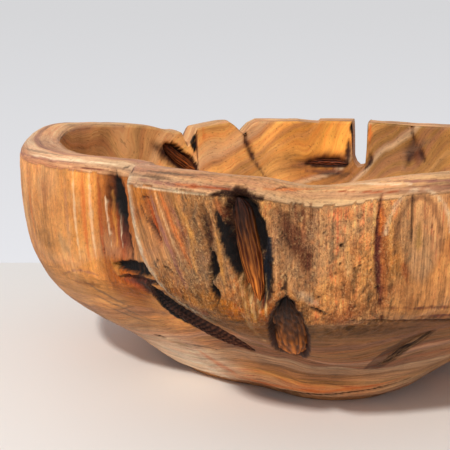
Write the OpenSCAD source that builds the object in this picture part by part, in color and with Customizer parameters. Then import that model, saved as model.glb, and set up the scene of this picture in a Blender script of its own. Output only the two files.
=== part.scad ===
// Bowl carved from one block of root wood. The outline keeps the lobes of the root, the
// rim is broken by its natural gaps, and the voids in the wall still hold the ingrown
// bark and dead knots that the wood grew round. The bowl stands on z = 0 with its
// hollow open towards +Z. Azimuth 0 is the front (-Y) and azimuth 90 the right (+X).

/* [Bowl] */
// Span of the rim between its furthest sides
rim_span = 380; // [340:10:420]
// Height of the rim above the resting face
rim_height = 137; // [128:1:146]
// Span of the foot
foot_span = 180; // [160:5:195]
// Thickness of the floor at the middle
floor_thickness = 24; // [18:1:30]
// Thickness of the wall where the rim is of middling width
rim_thickness = 24; // [22:1:28]

/* [Front lobe] */
// How far the front lobe stands proud of the wall beside it
lobe_proud = 15; // [10:1:17]
// Width of the rounded edge of the front lobe
lobe_edge = 12; // [9:1:15]

/* [Rim gaps] */
// Width of the open slot at the back of the rim
slot_width = 8; // [6:1:12]
// Depth of the open slot
slot_depth = 38; // [25:1:45]
// Depth of the deeper notch beside it
notch_depth = 14; // [8:1:18]

/* [Ingrown pieces] */
// Gap that shrinkage left round each ingrown piece
shrink_gap = 0.4; // [0.2:0.1:0.8]
// How far the face of an ingrown piece lies below the wood around it
face_sink = 2; // [1:0.5:4]

/* [Hidden] */

// Columns of points round the bowl, and points up each stretch of a column
columns = 112;
outer_rows = 18;
shoulder_rows = 5;
inner_rows = 13;
// Facets of a ball that hulls join into a channel
ball_facets = 12;

// Shares of the nominal sizes at which the tables below were laid out, and the wall's
// thickness beyond its nominal one
wide = rim_span / 380;
tall = rim_height / 137;
foot_share = foot_span / 180;
thickening = rim_thickness - 24;

// Radius of the rounded outer edge of the rim, and how far its crown dips inwards
shoulder = 9;
crown_dip = 1.5;
// Foot: a low lip with rounded edges above and below
lip_height = 5;
lip_round = 2;
// Power of the rounded square that the hollow follows from its floor to the rim
hollow_power = 2.5;

// Each table goes round the bowl as [azimuth, value in mm].
// Radius of the rim, without the front lobe
OUTLINE = [[-180, 188], [-160, 187], [-140, 187], [-122, 190], [-105, 192], [-88, 188],
    [-74, 182], [-62, 172], [-50, 163], [-42, 163], [-34, 170], [-22, 180], [-8, 184],
    [8, 186], [25, 190], [45, 186], [65, 180], [85, 184], [105, 190], [125, 188],
    [145, 184], [163, 188]];
// Height of the rim's crown
CROWN = [[-180, 139.5], [-162, 139], [-152, 136], [-144, 133], [-135, 138], [-120, 140],
    [-105, 140], [-90, 137], [-70, 134], [-50, 133.5], [-38, 134], [-25, 134], [-14, 133],
    [-6, 129.5], [4, 133], [18, 136], [40, 137], [60, 136], [80, 134], [100, 135],
    [125, 137], [145, 137.5], [163, 139.5]];
// Radius of the hollow at the rim
LIP = [[-180, 164], [-160, 165], [-140, 164], [-122, 167], [-105, 167], [-88, 163],
    [-74, 157], [-62, 151], [-50, 147], [-42, 150], [-34, 159], [-22, 169], [-8, 171],
    [8, 169], [25, 164], [45, 163], [65, 157], [85, 158], [105, 166], [125, 165],
    [145, 162], [163, 166]];
// Radius of the foot
FOOT = [[-180, 84], [-150, 85], [-120, 86], [-90, 92], [-60, 94], [-42, 90], [-27, 88],
    [-18, 92], [-9, 98], [0, 100], [9, 99], [16, 96], [24, 90], [33, 82], [48, 76],
    [65, 79], [90, 85], [120, 85], [150, 84]];
// Share of the creased section, which belongs to the front, in the round one
CREASED = [[-180, 0], [-60, 0], [-30, 0.9], [0, 1], [30, 0.9], [55, 0.4], [80, 0], [150, 0]];

// Sections as [share of the height, share of the way from the foot out to the rim]
ROUND_SECTION = [[0, 0], [0.05, 0.12], [0.11, 0.25], [0.16, 0.35], [0.21, 0.465],
    [0.26, 0.585], [0.33, 0.735], [0.39, 0.825], [0.45, 0.88], [0.56, 0.945],
    [0.7, 0.98], [0.82, 0.995], [1, 1]];
CREASED_SECTION = [[0, 0], [0.05, 0.12], [0.14, 0.26], [0.28, 0.48], [0.4, 0.67],
    [0.5, 0.84], [0.57, 0.94], [0.68, 0.975], [0.82, 0.995], [0.93, 1], [1, 0.995]];

// Edge of the front lobe as [azimuth, height], from the rim down to where it dies away
SEAM = [[-40, 150], [-38.5, 134], [-37.5, 120], [-36.5, 105], [-35.5, 92], [-33.5, 80],
    [-30, 69], [-25.5, 59], [-20, 50], [-13, 42], [-5, 36], [5, 30]];
// Azimuths between which the lobe fades into the wall on its right
LOBE_FADE = [-20, 25];

// Channels are chains of balls: [azimuth, height, depth of the centre, radius].
// Long hollow in the front lobe, and the short dark pits on its left
FRONT_HOLLOW = [[-15.6, 119, 2, 9], [-15.4, 108, 1, 12], [-14.8, 95, 1, 11.5], [-13.8, 84, 1, 8]];
FRONT_PITS = [[-20.8, 115, 0, 4], [-20.3, 104, 0, 4.5], [-20.4, 92, 0, 4], [-19.8, 83, 0, 3]];
// Round hollow below it, where a branch died
KNOT_HOLLOW = [[-10, 74, 4, 9.5], [-10.2, 62, 7, 11], [-11, 48, 9, 10]];
// Crevice under the edge of the front lobe, on the plain wall
CREVICE = [[-41.5, 78, 4, 4], [-39.5, 69, 4, 5], [-36, 59, 5, 6], [-31, 50, 6, 6],
    [-26, 44, 6, 5.5], [-22, 40, 5, 4]];
// Cleft between the left lobe and the front lobe, from the rim down
CLEFT = [[-41, 142, 1, 7], [-42.5, 128, 1, 7], [-43.5, 112, 1, 6], [-43.5, 98, 0, 4]];
// Bark pocket low on the right of the front
SIDE_HOLLOW = [[6, 53, 7, 8], [9, 49, 8, 9], [12.5, 46, 7, 7]];
// Pockets in the wall of the hollow, below the two notches
INNER_KNOT_HOLLOW = [[-146, 124, 3, 8], [-147, 113, 4, 9], [-148.5, 102, 3, 7]];
INNER_BARK_HOLLOW = [[-179.5, 101, 3, 6], [174, 105, 4, 7], [169.5, 100, 4, 7]];

// Gaps through the rim: [azimuth, height of the bottom, radius there, radius at the rim]
notch_azimuth = -147.5;
dip_azimuth = -164.5;
dip_depth = 9;
slot_azimuth = 163.8;
slot_bulge = 2.5;

// ---- Functions ----

function wrap(a) = ((a + 180) % 360 + 360) % 360 - 180;
function mix(a, b, share) = a + (b - a) * share;
function limit(x) = min(1, max(0, x));
function ease(x) = let (t = limit(x)) t * t * (3 - 2 * t);

// Smooth curve through four neighbouring [x, y] points, between the middle two
function slope(p, q) = (q.y - p.y) / (q.x - p.x);
function curve(p0, p1, p2, p3, x) =
    let (
        span = p2.x - p1.x,
        t = (x - p1.x) / span,
        leave = slope(p0, p2) * span,
        arrive = slope(p1, p3) * span
    )
    (2 * t ^ 3 - 3 * t ^ 2 + 1) * p1.y + (t ^ 3 - 2 * t ^ 2 + t) * leave
        + (3 * t ^ 2 - 2 * t ^ 3) * p2.y + (t ^ 3 - t ^ 2) * arrive;

// Value of a table that closes on itself round the bowl
function lap(table, i) =
    let (n = len(table), laps = floor(i / n))
    [table[i - laps * n].x + 360 * laps, table[i - laps * n].y];
function around(table, a) =
    let (x = wrap(a), i = len([for (p = table) if (p.x <= x) p]) - 1)
    curve(lap(table, i - 1), lap(table, i), lap(table, i + 1), lap(table, i + 2), x);

// Value of a table with two ends
function end_point(table, i) =
    let (last = len(table) - 1)
    i < 0 ? 2 * table[0] - table[1] : i > last ? 2 * table[last] - table[last - 1] : table[i];
function along(table, x) =
    let (i = min(len(table) - 2, len([for (p = table) if (p.x <= x) p]) - 1))
    curve(end_point(table, i - 1), table[i], table[i + 1], end_point(table, i + 2), x);

// Rim and foot at an azimuth
function crown(a) = around(CROWN, a) * tall;
function foot_r(a) = around(FOOT, a) * foot_share;
function rim_r(a) = around(OUTLINE, a) * wide;
function shoulder_z(a) = crown(a) - shoulder;

// Radius of the wall without the front lobe
function plain_r(a, z) =
    let (
        share = limit(z / (crown(a) - 3)),
        reach = mix(along(ROUND_SECTION, share), along(CREASED_SECTION, share),
            limit(around(CREASED, a)))
    )
    mix(foot_r(a), rim_r(a), reach);

// How far the front lobe stands proud: it rises over its rounded edge, to the right of
// the seam and above it, and fades away on its right
function seam_azimuth(z) = lookup(z, [for (p = SEAM) [p.y * tall, p.x]]);
function seam_z(a) = lookup(a, SEAM) * tall;
function lobe(a, z) =
    let (
        beside = (a - seam_azimuth(z)) * PI / 180 * rim_r(a),
        above = z - seam_z(a),
        inside = beside > 0 && above > 0 && abs(a) < 90
            ? beside * above / norm([beside, above]) : 0,
        edge = sqrt(1 - (1 - limit(inside / lobe_edge)) ^ 2),
        fade = ease((LOBE_FADE[1] - a) / (LOBE_FADE[1] - LOBE_FADE[0]))
    )
    lobe_proud * edge * fade;
function wall_r(a, z) = plain_r(a, z) + lobe(a, z);

// The hollow: its radius at the rim, and at any height above its floor
function lip_r(a) = around(LIP, a) * wide - thickening;
function hollow_top(a) = crown(a) - crown_dip;
function hollow_r(a, z) =
    let (rise = limit((z - floor_thickness) / (hollow_top(a) - floor_thickness)))
    lip_r(a) * (1 - (1 - rise) ^ hollow_power) ^ (1 / hollow_power);
// Height of the hollow's surface at a share of its radius
function hollow_z(a, share) =
    mix(floor_thickness, hollow_top(a), 1 - (1 - share ^ hollow_power) ^ (1 / hollow_power));

// One column of [radius, height], from the foot up the outside, over the rim and down
function foot_points(a) = [
    [foot_r(a) - lip_round, 0],
    [foot_r(a), lip_round],
    [foot_r(a), lip_height - lip_round],
    [foot_r(a) - lip_round, lip_height]
];
function outer_points(a) = [
    for (i = [1 : outer_rows])
        let (z = mix(lip_height, shoulder_z(a), i / outer_rows)) [wall_r(a, z), z]
];
function shoulder_points(a) =
    let (z = shoulder_z(a), r = wall_r(a, z))
    [for (i = [1 : shoulder_rows])
        let (turn = 90 * i / shoulder_rows)
        [r - shoulder * (1 - cos(turn)), z + shoulder * sin(turn)]];
function inner_points(a) = [
    for (i = [0 : inner_rows])
        let (share = cos(90 * i / (inner_rows + 1)))
        [lip_r(a) * share, hollow_z(a, share)]
];
function column(a) = concat(foot_points(a), outer_points(a), shoulder_points(a), inner_points(a));

function place(a, r, z) = [r * sin(a), -r * cos(a), z];

// ---- Shapes ----

// Closed solid whose columns of points stand round the Z axis
module turned_columns() {
    step = 360 / columns;
    rows = len(column(0));
    points = [
        for (i = [0 : columns - 1])
            let (a = -180 + i * step)
            for (p = column(a)) place(a, p.x, p.y)
    ];
    sides = [
        for (i = [0 : columns - 1], j = [0 : rows - 2])
            let (here = i * rows + j, next = (i + 1) % columns * rows + j)
            each [[here, here + 1, next + 1], [here, next + 1, next]]
    ];
    base = [for (i = [0 : columns - 1]) i * rows];
    hollow_floor = [for (i = [columns - 1 : -1 : 0]) i * rows + rows - 1];
    polyhedron(points, concat(sides, [base], [hollow_floor]), convexity = 6);
}

// Rounded channel through a chain of [point, radius] balls
module channel(balls) {
    for (i = [0 : len(balls) - 2])
        hull() {
            translate(balls[i][0]) sphere(balls[i][1], $fn = ball_facets);
            translate(balls[i + 1][0]) sphere(balls[i + 1][1], $fn = ball_facets);
        }
}

// Balls of a chain in the outer wall, in the plain wall under the lobe, and in the hollow
function outer_balls(chain) =
    [for (b = chain) [place(b[0], wall_r(b[0], b[1]) - b[2], b[1]), b[3]]];
function plain_balls(chain) =
    [for (b = chain) [place(b[0], plain_r(b[0], b[1]) - b[2], b[1]), b[3]]];
function inner_balls(chain) =
    [for (b = chain) [place(b[0], hollow_r(b[0], b[1]) + b[2], b[1]), b[3]]];

// The chain of the piece that fills a pocket: each ball stays inside the pocket's own,
// clear by the shrinkage gap, with its face below the wood
function filling(chain) = [
    for (b = chain)
        let (deeper = (b[3] - b[2] - shrink_gap + face_sink) / 2)
        [b[0], b[1], b[2] + deeper, b[3] - deeper - shrink_gap]
];

// Gap cut down through the rim: narrow at its bottom and wider at the crown
module rim_gap(a, depth, low, high) {
    reach = [lip_r(a) - 12, rim_r(a) + 12];
    hull()
        for (r = reach) {
            translate(place(a, r, crown(a) - depth + low)) sphere(low, $fn = ball_facets);
            translate(place(a, r, crown(a) + high)) sphere(high, $fn = ball_facets);
        }
}

// ---- Pieces ----

module bowl_body() {
    color("burlywood")
        difference() {
            turned_columns();
            channel(outer_balls(FRONT_HOLLOW));
            channel(outer_balls(FRONT_PITS));
            channel(outer_balls(KNOT_HOLLOW));
            channel(plain_balls(CREVICE));
            channel(plain_balls(CLEFT));
            channel(outer_balls(SIDE_HOLLOW));
            channel(inner_balls(INNER_KNOT_HOLLOW));
            channel(inner_balls(INNER_BARK_HOLLOW));
            rim_gap(notch_azimuth, notch_depth, 3, 6);
            rim_gap(dip_azimuth, dip_depth, 5, 10);
            rim_gap(slot_azimuth, slot_depth, slot_width / 2, slot_width / 2);
            // the slot is wider half way down, towards the left
            rim_gap(slot_azimuth + 0.6, slot_depth * 0.6, slot_width / 2 + slot_bulge, slot_width / 2);
        }
}

// Ribbed tongue of bark in the long front hollow
module front_bark() {
    color("saddlebrown") channel(outer_balls(filling(FRONT_HOLLOW)));
}

// Dead knot at the bottom of the front hollow
module front_dead_knot() {
    color("#3f2416") channel(outer_balls(filling(KNOT_HOLLOW)));
}

// Dark strip of bark in the crevice under the front lobe
module seam_bark() {
    color("#4a2a18") channel(plain_balls(filling(CREVICE)));
}

// Bark pocket low on the right of the front
module side_bark() {
    color("#6b4229") channel(outer_balls(filling(SIDE_HOLLOW)));
}

// Dead knot in the wall of the hollow, below the notch
module inner_dead_knot() {
    color("#3f2416") channel(inner_balls(filling(INNER_KNOT_HOLLOW)));
}

// Bark in the ledge at the back of the hollow
module inner_bark() {
    color("saddlebrown") channel(inner_balls(filling(INNER_BARK_HOLLOW)));
}

bowl_body();
front_bark();
front_dead_knot();
seam_bark();
side_bark();
inner_dead_knot();
inner_bark();
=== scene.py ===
import itertools
import math

import bpy
import numpy as np
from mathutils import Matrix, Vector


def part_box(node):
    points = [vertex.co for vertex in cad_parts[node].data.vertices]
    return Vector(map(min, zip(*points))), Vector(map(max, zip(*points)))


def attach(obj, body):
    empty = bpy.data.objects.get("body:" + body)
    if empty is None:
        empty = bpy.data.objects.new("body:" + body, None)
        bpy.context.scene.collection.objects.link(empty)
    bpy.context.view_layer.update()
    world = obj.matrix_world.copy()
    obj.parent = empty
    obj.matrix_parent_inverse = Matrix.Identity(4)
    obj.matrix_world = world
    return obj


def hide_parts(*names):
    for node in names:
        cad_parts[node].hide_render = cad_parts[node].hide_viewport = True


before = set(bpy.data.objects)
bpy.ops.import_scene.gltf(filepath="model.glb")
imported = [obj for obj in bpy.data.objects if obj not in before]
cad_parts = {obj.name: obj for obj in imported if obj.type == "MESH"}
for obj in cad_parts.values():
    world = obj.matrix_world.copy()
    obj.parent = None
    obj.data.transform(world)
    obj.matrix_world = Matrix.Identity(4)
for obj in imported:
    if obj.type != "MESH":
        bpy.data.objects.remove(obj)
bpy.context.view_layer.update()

# A bowl carved from root wood: one detailed mesh for the carved block and one for each
# ingrown piece of bark or dead wood. Lengths are in millimetres until a mesh is made.
# Azimuth 0 is the front (-Y), 90 the right (+X), -90 the left and 180 the back.

BOWL_LOW, BOWL_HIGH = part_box("bowl_body")
METRE = 1000.0

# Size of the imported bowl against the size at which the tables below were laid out
LAID_OUT_WIDTH, LAID_OUT_HEIGHT = 375.9, 140.3
WIDE = (BOWL_HIGH.x - BOWL_LOW.x) * METRE / LAID_OUT_WIDTH
TALL = (BOWL_HIGH.z - BOWL_LOW.z) * METRE / LAID_OUT_HEIGHT

# ---- the carved form
# Tables that go round the bowl: (azimuth, value)
RIM_RADIUS = [(-180, 188), (-160, 187), (-140, 187), (-122, 190), (-105, 192), (-88, 188),
              (-74, 182), (-62, 172), (-50, 163), (-42, 163), (-34, 170), (-22, 180),
              (-8, 184), (8, 186), (25, 190), (45, 186), (65, 180), (85, 184), (105, 190),
              (125, 188), (145, 184), (163, 188)]
CROWN = [(-180, 139.5), (-162, 139), (-152, 136), (-144, 133), (-135, 138), (-120, 141.5),
         (-105, 142.5), (-90, 138), (-70, 134), (-50, 133.5), (-38, 134), (-25, 134),
         (-14, 133), (-6, 129.5), (4, 133), (18, 136), (40, 137), (60, 136), (80, 134),
         (100, 135), (125, 137), (145, 137.5), (163, 139.5)]
LIP_RADIUS = [(-180, 164), (-160, 165), (-140, 164), (-122, 167), (-105, 167), (-88, 163),
              (-74, 157), (-62, 151), (-50, 147), (-42, 150), (-34, 159), (-22, 169),
              (-8, 171), (8, 169), (25, 164), (45, 163), (65, 157), (85, 158), (105, 166),
              (125, 165), (145, 162), (163, 166)]
FOOT_RADIUS = [(-180, 84), (-150, 84), (-120, 80), (-90, 86), (-60, 93), (-42, 90),
               (-27, 88), (-18, 92), (-9, 98), (0, 100), (9, 99), (16, 96), (24, 90),
               (33, 82), (48, 76), (65, 79), (90, 85), (120, 85), (150, 84)]
# Share of the creased section, which belongs to the front, in the round one
CREASED = [(-180, 0), (-60, 0), (-30, 0.9), (0, 1), (30, 0.9), (55, 0.4), (80, 0), (150, 0)]
# Sections: (share of the height, share of the way from the foot out to the rim)
ROUND_SECTION = [(0, 0), (0.05, 0.12), (0.11, 0.25), (0.16, 0.35), (0.21, 0.465),
                 (0.26, 0.585), (0.33, 0.735), (0.39, 0.825), (0.45, 0.88), (0.56, 0.945),
                 (0.7, 0.98), (0.82, 0.995), (1, 1)]
CREASED_SECTION = [(0, 0), (0.05, 0.12), (0.14, 0.26), (0.28, 0.48), (0.4, 0.67),
                   (0.5, 0.84), (0.57, 0.94), (0.68, 0.975), (0.82, 0.995), (0.93, 1),
                   (1, 0.995)]
# Edge of the front lobe: (azimuth, height)
SEAM = [(-40, 150), (-38.5, 134), (-37.5, 120), (-36.5, 105), (-35.5, 93), (-33.5, 82.5),
        (-30, 74), (-25.5, 64.5), (-20, 53), (-13, 42), (-5, 36), (5, 30)]
LOBE_PROUD, LOBE_EDGE, LOBE_FADE = 15, 12, (25, -20)
SHOULDER, CROWN_DIP = 9, 1.5
FLOOR_THICKNESS, HOLLOW_POWER = 24, 2.5
LIP_HEIGHT, LIP_ROUND = 5, 2

# Gaps through the rim: (azimuth, how far the crown drops), with level crown between them
GAPS = [(-180, 0), (-168.5, 0), (-166.5, 3), (-164.4, 9.5), (-163.6, 9.5), (-161.6, 3.5),
        (-160, 0), (-150.1, 0), (-149.7, 2.5), (-148.6, 9), (-147.4, 13), (-146.8, 12),
        (-145.2, 1), (-144.6, 0), (160.7, 0), (160.85, 32), (161.6, 36), (163.0, 37),
        (164.2, 34), (164.9, 27), (165.05, 0), (174.3, 0), (174.5, 1.6), (180, 0)]


def ease(x, low, high):
    """Smooth step from 0 at low to 1 at high."""
    t = np.clip((np.asarray(x, float) - low) / (high - low), 0, 1)
    return t * t * (3 - 2 * t)


def mix(a, b, share):
    return a + (b - a) * share


def smooth_curve(xs, ys, x):
    """Smooth curve through points, where xs and ys have one more point at each end."""
    i = np.clip(np.searchsorted(xs, x, side="right") - 1, 1, len(xs) - 3)
    span = xs[i + 1] - xs[i]
    t = (x - xs[i]) / span
    leave = (ys[i + 1] - ys[i - 1]) / (xs[i + 1] - xs[i - 1]) * span
    arrive = (ys[i + 2] - ys[i]) / (xs[i + 2] - xs[i]) * span
    return ((2 * t**3 - 3 * t**2 + 1) * ys[i] + (t**3 - 2 * t**2 + t) * leave
            + (3 * t**2 - 2 * t**3) * ys[i + 1] + (t**3 - t**2) * arrive)


def around(table, azimuth):
    xs, ys = np.array(table, float).T
    xs = np.concatenate([xs[-2:] - 360, xs, xs[:3] + 360])
    ys = np.concatenate([ys[-2:], ys, ys[:3]])
    return smooth_curve(xs, ys, (np.asarray(azimuth, float) + 180) % 360 - 180)


def along(table, x):
    xs, ys = np.array(table, float).T
    xs = np.concatenate([[2 * xs[0] - xs[1]], xs, [2 * xs[-1] - xs[-2]]])
    ys = np.concatenate([[2 * ys[0] - ys[1]], ys, [2 * ys[-1] - ys[-2]]])
    return smooth_curve(xs, ys, np.clip(x, table[0][0], table[-1][0]))


def lookup(table, x):
    xs, ys = np.array(table, float).T
    order = np.argsort(xs)
    return np.interp(x, xs[order], ys[order])


def crown(a):
    return around(CROWN, a) * TALL


def rim_r(a):
    return around(RIM_RADIUS, a) * WIDE


def lip_r(a):
    return around(LIP_RADIUS, a) * WIDE


def foot_r(a):
    return around(FOOT_RADIUS, a) * WIDE


def seam_azimuth(z):
    """Azimuth of the front lobe's edge at a height of the table."""
    return lookup([(height, azimuth) for azimuth, height in SEAM], z)


def lobe(a, z):
    """How far the front lobe stands proud of the plain wall."""
    beside = np.radians(a - seam_azimuth(z / TALL)) * rim_r(a)
    above = z - lookup(SEAM, a) * TALL
    inside = np.where((beside > 0) & (above > 0) & (np.abs(a) < 90),
                      beside * above / np.maximum(np.hypot(beside, above), 1e-6), 0)
    edge = np.sqrt(1 - (1 - np.clip(inside / LOBE_EDGE, 0, 1)) ** 2)
    return LOBE_PROUD * edge * ease(a, *LOBE_FADE)


def wall_r(a, z):
    share = np.clip(z / (crown(a) - 3), 0, 1)
    reach = mix(along(ROUND_SECTION, share), along(CREASED_SECTION, share),
                np.clip(around(CREASED, a), 0, 1))
    return mix(foot_r(a), rim_r(a), reach) + lobe(a, z)


def hollow_r(a, z):
    rise = np.clip((z - FLOOR_THICKNESS) / (crown(a) - CROWN_DIP - FLOOR_THICKNESS), 0, 1)
    return lip_r(a) * (1 - (1 - rise) ** HOLLOW_POWER) ** (1 / HOLLOW_POWER)


def shoulder_r(a, z):
    """Radius on the rounding from the wall over to the rim."""
    foot = crown(a) - SHOULDER
    turn = np.arcsin(np.clip((z - foot) / SHOULDER, 0, 0.999))
    return wall_r(a, foot) - SHOULDER * (1 - np.cos(turn))


def place(a, r, z):
    a = np.radians(a)
    return np.stack([r * np.sin(a), -r * np.cos(a), z + 0 * a], -1)


# ---- noise
GRADIENTS = np.random.RandomState(7).normal(size=(256, 3))
GRADIENTS /= np.linalg.norm(GRADIENTS, axis=1)[:, None]
LEVELS = np.random.RandomState(11).uniform(-1, 1, 4096)
CELL_PRIMES, SEED_PRIME, MIX_PRIME = (73856093, 19349663, 83492791), 2654435, 1274126177
NOISE_GAIN, CLOUD_GAIN, OCTAVE_SHIFT = 1.6, 1.3, 17.3


def noise(points, seed=0):
    """Smooth noise of about -1 to 1 at each point, with cells of size 1."""
    cell = np.floor(points).astype(np.int64)
    f = points - cell
    w = f * f * f * (f * (f * 6 - 15) + 10)
    total = np.zeros(points.shape[:-1])
    for corner in itertools.product((0, 1), repeat=3):
        c = cell + corner
        h = c[..., 0] * CELL_PRIMES[0] ^ c[..., 1] * CELL_PRIMES[1] ^ c[..., 2] * CELL_PRIMES[2]
        h = h ^ seed * SEED_PRIME
        h = (h ^ (h >> 13)) * MIX_PRIME & 0x7FFFFFFF
        g = GRADIENTS[(h ^ (h >> 15)) & 255]
        weight = np.ones(points.shape[:-1])
        for axis in range(3):
            weight *= w[..., axis] if corner[axis] else 1 - w[..., axis]
        total += weight * ((f - corner) * g).sum(-1)
    return total * NOISE_GAIN


def clouds(points, size, seed=0, octaves=3, rough=0.5):
    """Layered noise: size is one length, or one along each axis."""
    p = points / np.asarray(size, float)
    total, height, most = 0, 1, 0
    for i in range(octaves):
        total = total + height * noise(p * 2**i + OCTAVE_SHIFT * i, seed + 31 * i)
        most += height
        height *= rough
    return total / most * CLOUD_GAIN


def bands(x, seed=0):
    """Noise along one line, from -1 to 1, with steps of length 1."""
    i = np.floor(x).astype(np.int64)
    t = x - i
    t = t * t * (3 - 2 * t)
    return mix(LEVELS[(i + seed * 197) & 4095], LEVELS[(i + 1 + seed * 197) & 4095], t)


# ---- the grid of points
OUTSIDE, RIM, INSIDE, UNDER = 0, 1, 2, 3
# Columns: (from azimuth, to azimuth, step), finest over the front, and close together
# at the steep sides of the gaps
COLUMNS = [(-180, -105, 0.5), (-105, -58, 0.4), (-58, 22, 0.27), (22, 95, 0.8),
           (95, 180, 0.5), (-151, -144, 0.2), (160.5, 161.1, 0.1), (164.6, 165.3, 0.1)]
BASE_ROWS, FOOT_ROWS, OUTER_ROWS, SHOULDER_ROWS, CROWN_ROWS, INNER_ROWS = 9, 8, 185, 16, 22, 84
CLOSEST_COLUMNS, LAST_COLUMN = 0.06, 179.8
FRONT_SECTION_AT = -5


def column_azimuths():
    every = np.concatenate([np.arange(low, high, step) for low, high, step in COLUMNS])
    every = np.unique(np.round(every, 3))
    keep = np.concatenate([[True], np.diff(every) > CLOSEST_COLUMNS])
    return every[keep & (every < LAST_COLUMN)]


def even_heights():
    """Shares of the height that are evenly spaced along the front's section."""
    share = np.linspace(0, 1, 400)
    top = float(crown(FRONT_SECTION_AT)) - SHOULDER
    z = mix(LIP_HEIGHT, top, share)
    steps = np.hypot(np.diff(wall_r(FRONT_SECTION_AT, z)), np.diff(z))
    length = np.concatenate([[0], np.cumsum(steps)])
    return np.interp(np.linspace(0, length[-1], OUTER_ROWS + 1)[1:], length, share)


def bowl_grid():
    """Points of the carved block as rows by columns, each row's kind, the azimuths, and how
    far over the rim each point lies."""
    a = column_azimuths()
    drop = np.interp(a, *np.array(GAPS).T)
    top = crown(a) - drop
    rows, kinds, rim_way = [], [], []

    def add(r, z, kind, way=0.0):
        rows.append(place(a, r + 0 * a, z + 0 * a))
        kinds.append(kind)
        rim_way.append(way + 0 * a)

    foot = foot_r(a)
    for share in np.linspace(0.02, 1, BASE_ROWS):
        add((foot - LIP_ROUND) * share, 0, UNDER)
    for turn in np.linspace(0, math.pi, FOOT_ROWS + 1)[1:]:
        z = LIP_HEIGHT / 2 * (1 - math.cos(turn))
        add(foot - LIP_ROUND + LIP_ROUND * math.sin(turn), z, UNDER)
    shoulder_z = top - SHOULDER
    for share in even_heights():
        z = mix(LIP_HEIGHT, shoulder_z, share)
        add(wall_r(a, z), z, OUTSIDE)
    outer = wall_r(a, shoulder_z)
    for turn in np.linspace(0, math.pi / 2, SHOULDER_ROWS + 1)[1:]:
        z = shoulder_z + SHOULDER * math.sin(turn)
        add(outer - SHOULDER * (1 - math.cos(turn)), z, RIM, SHOULDER * turn)
    inner_top = top - CROWN_DIP
    inner = hollow_r(a, inner_top)
    for share in np.linspace(0, 1, CROWN_ROWS + 1)[1:-1]:
        round_off = ease(share, 0.86, 1.02) * 1.2
        add(mix(outer - SHOULDER, inner, share), top - CROWN_DIP * share**2 - round_off, RIM,
            SHOULDER * math.pi / 2 + (outer - SHOULDER - inner) * share)
    first = inner / lip_r(a)
    for share in np.linspace(0, 1, INNER_ROWS + 1)[:-1]:
        part = first * np.cos(np.pi / 2 * share**1.25)
        rise = 1 - (1 - np.minimum(part, 1) ** HOLLOW_POWER) ** (1 / HOLLOW_POWER)
        z = mix(FLOOR_THICKNESS, crown(a) - CROWN_DIP, rise)
        add(lip_r(a) * part, np.minimum(z, inner_top), INSIDE)
    return np.array(rows), np.array(kinds), a, np.array(rim_way)


def grid_normals(p):
    """Outward unit normals of a grid whose columns close into a loop."""
    across = np.roll(p, -1, 1) - np.roll(p, 1, 1)
    up = np.gradient(p, axis=0)
    n = np.cross(across, up)
    return n / np.maximum(np.linalg.norm(n, axis=-1), 1e-9)[..., None]


# ---- colours of the wood
def colour(r, g, b):
    """Linear colour of an sRGB one given from 0 to 255."""
    c = np.array([r, g, b]) / 255
    return np.where(c <= 0.04045, c / 12.92, ((c + 0.055) / 1.055) ** 2.4)


# The dark blue-grey dye at (24, 28, 37) is a painted sheen, for the right side of the front hollow
DYES = {name: colour(*rgb) for name, rgb in {
    "cream": (244, 214, 172), "tan": (208, 160, 112), "gold": (216, 144, 62),
    "orange": (214, 112, 46), "rust": (158, 68, 26), "maroon": (104, 44, 32),
    "mauve": (150, 92, 78), "brown": (112, 62, 36), "umber": (54, 25, 13),
    "black": (12, 7, 6), "painted_sheen": (24, 28, 37), "grey": (206, 184, 152),
    "smoke": (118, 90, 68), "olive": (146, 106, 44), "pale": (232, 214, 190),
    "flake": (240, 190, 126)}.items()}

# Colour of the wood where no zone reaches, and how much it weighs against a zone
BASE_COLOURS = {OUTSIDE: (202, 142, 90), RIM: (220, 172, 128), INSIDE: (220, 164, 106),
                UNDER: (176, 130, 96)}
BASE_WEIGHT, SATURATION, DEEPEN = 0.25, 1.2, 0.9
# Soft zones of the wood by side: (azimuth, height, half width in degrees, half height, colour)
ZONES = {
    OUTSIDE: [
        (-84, 100, 12, 60, (220, 160, 112)), (-66, 96, 8, 40, (196, 138, 92)),
        # the dark rust zone at azimuth -46 fills the valley and is partly painted shade
        (-55, 90, 4, 40, (216, 148, 92)), (-46, 98, 5.5, 34, (132, 58, 24)),
        (-46, 70, 6, 9, (146, 72, 34)), (-28, 100, 6.5, 36, (128, 68, 26)),
        (-21.5, 104, 4.5, 26, (94, 50, 20)), (-15, 78, 4, 16, (186, 104, 42)),
        (-27, 66, 5, 10, (140, 106, 74)), (-9, 104, 3.2, 26, (112, 64, 38)),
        (-3, 104, 4, 34, (214, 150, 104)), (-3, 76, 4, 10, (192, 128, 88)), (8, 65, 26, 5, (104, 64, 44)),
        (7, 104, 4, 24, (176, 118, 76)), (15, 104, 5, 30, (222, 156, 108)), (7, 82, 7, 9, (200, 140, 98)),
        (0, 44, 24, 22, (88, 60, 42)), (-62, 40, 16, 24, (158, 122, 92)),
        (-48, 17, 15, 15, (240, 220, 194)), (20, 20, 14, 14, (170, 136, 106)),
        (-6, 9, 26, 5, (206, 138, 94))],
    RIM: [
        (-34, 131, 8, 20, (198, 148, 118)), (-20, 131, 8, 20, (208, 152, 112)),
        (-70, 133, 20, 20, (206, 154, 120))],
    INSIDE: [
        (-124, 120, 20, 40, (238, 188, 132)), (148, 120, 12, 40, (138, 104, 68)),
        (174, 124, 9, 18, (240, 170, 98)), (-156, 116, 7, 40, (218, 164, 108)),
        # the dark zone at azimuth 172 under the ledge is painted shadow
        (172, 100, 10, 12, (128, 74, 36))],
}

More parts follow.
